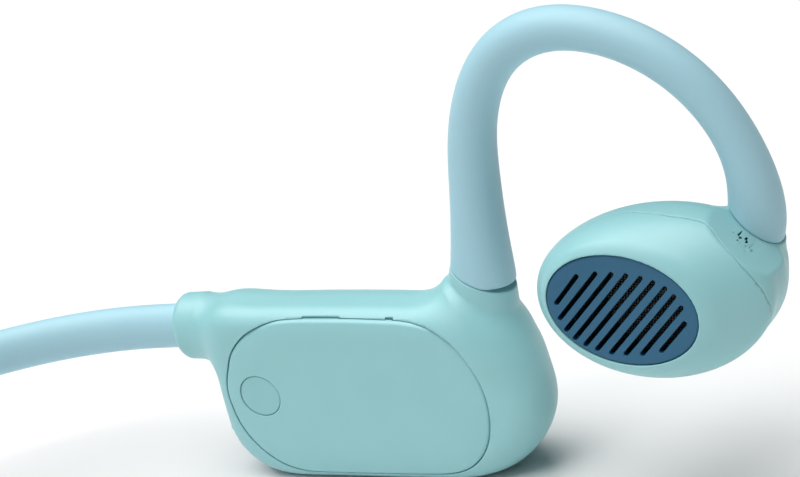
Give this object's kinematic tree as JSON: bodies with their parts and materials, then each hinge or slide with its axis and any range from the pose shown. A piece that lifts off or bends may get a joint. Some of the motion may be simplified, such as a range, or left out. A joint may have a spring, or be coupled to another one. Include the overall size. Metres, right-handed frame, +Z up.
{
  "type": "open-ear neckband headphones",
  "caption": "Behind-the-neck open-ear headphones: flexible band, two housings with covers, ear hooks over the ears and slotted sound pods at their ends.",
  "frame": {"origin": "middle of the bounding box, at the plane that the two housings stand on", "axes": "+X to the wearer's left, -Y to the wearer's front, +Z up as worn"},
  "size_m": [0.138, 0.117, 0.0501],
  "materials": {
    "battery_foil": "pouch foil",
    "black_plastic": "moulded black",
    "blue_grille": "satin petrol blue",
    "brass_anchor": "crimped brass",
    "cable_jacket": "thin dark jacket",
    "circuit_board": "green solder mask",
    "coil_copper": "enamelled copper winding",
    "dark_mesh": "woven acoustic mesh, near black",
    "diaphragm_film": "thin polymer film",
    "flap_rubber": "mint elastomer",
    "led_white": "small package",
    "light_pipe": "milky clear plastic",
    "magnet": "nickel plated neodymium",
    "mint_plug": "satin mint plug",
    "mint_shell": "fine satin texture, mint aqua",
    "pale_silicone": "silky pale aqua silicone",
    "seal_rubber": "black silicone",
    "steel": "bare spring and soft steel",
    "tin_can": "tinned sheet"
  },
  "bodies": {
    "right_side": {"right_cover_screw": "steel", "right_cover_seal": "seal_rubber", "right_driver_frame": "black_plastic", "right_driver_magnet": "magnet", "right_driver_top_plate": "steel", "right_driver_yoke": "steel", "right_grille": "blue_grille", "right_grille_mesh": "dark_mesh", "right_hook_cable": "cable_jacket", "right_hook_sleeve": "pale_silicone", "right_hook_wire": "steel", "right_housing_cover": "mint_shell", "right_housing_shell": "mint_shell", "right_pod_front_shell": "mint_shell", "right_pod_rear_shell": "mint_shell", "right_screw_plug": "mint_plug", "right_wire_anchors": "brass_anchor", "main_board": "circuit_board", "radio_module": "tin_can", "volume_switches": "black_plastic", "microphone": "tin_can", "neckband_sleeve": "pale_silicone", "neckband_wire": "steel", "neckband_cable": "cable_jacket"},
    "left_side": {"left_battery": "battery_foil", "left_charge_board": "circuit_board", "left_cover_screw": "steel", "left_cover_seal": "seal_rubber", "left_driver_frame": "black_plastic", "left_driver_magnet": "magnet", "left_driver_top_plate": "steel", "left_driver_yoke": "steel", "left_grille": "blue_grille", "left_grille_mesh": "dark_mesh", "left_hook_cable": "cable_jacket", "left_hook_sleeve": "pale_silicone", "left_hook_wire": "steel", "left_housing_cover": "mint_shell", "left_housing_shell": "mint_shell", "left_pod_front_shell": "mint_shell", "left_pod_rear_shell": "mint_shell", "left_screw_plug": "mint_plug", "left_wire_anchors": "brass_anchor", "play_switch": "black_plastic", "status_led": "led_white", "status_light_pipe": "light_pipe", "charge_socket": "tin_can"},
    "play_key": {"play_button": "mint_shell"},
    "volume_up_key": {"volume_up_button": "mint_shell"},
    "volume_down_key": {"volume_down_button": "mint_shell"},
    "port_flap": {"charge_flap": "flap_rubber"},
    "left_cone": {"left_diaphragm": "diaphragm_film", "left_voice_coil": "coil_copper"},
    "right_cone": {"right_diaphragm": "diaphragm_film", "right_voice_coil": "coil_copper"}
  },
  "joints": [
    {"name": "band_flex", "type": "hinge", "parent": "right_side", "child": "left_side", "pos_m": [0, 0.05682, 0.01657], "axis": [0, 0, 1], "range_deg": [-8, 25], "stiffness_Nm_per_rad": 0.25, "deforming": ["neckband_sleeve", "neckband_wire", "neckband_cable"]},
    {"name": "play_press", "type": "slide", "parent": "left_side", "child": "play_key", "axis": [-1, 0, 0], "range_m": [0, 0.0003], "stiffness_N_per_m": 3000},
    {"name": "volume_up_press", "type": "slide", "parent": "right_side", "child": "volume_up_key", "axis": [1, 0, 0], "range_m": [0, 0.0003], "stiffness_N_per_m": 3000},
    {"name": "volume_down_press", "type": "slide", "parent": "right_side", "child": "volume_down_key", "axis": [1, 0, 0], "range_m": [0, 0.0003], "stiffness_N_per_m": 3000},
    {"name": "flap_open", "type": "hinge", "parent": "left_side", "child": "port_flap", "pos_m": [0.061, 0.00895, 0.0056], "axis": [1, 0, 0], "range_deg": [0, 100]},
    {"name": "left_cone_travel", "type": "slide", "parent": "left_side", "child": "left_cone", "axis": [-0.9931, 0.0605, 0.1008], "range_m": [-0.0002, 0.0002], "stiffness_N_per_m": 600},
    {"name": "right_cone_travel", "type": "slide", "parent": "right_side", "child": "right_cone", "axis": [0.9931, 0.0605, 0.1008], "range_m": [-0.0002, 0.0002], "stiffness_N_per_m": 600}
  ]
}
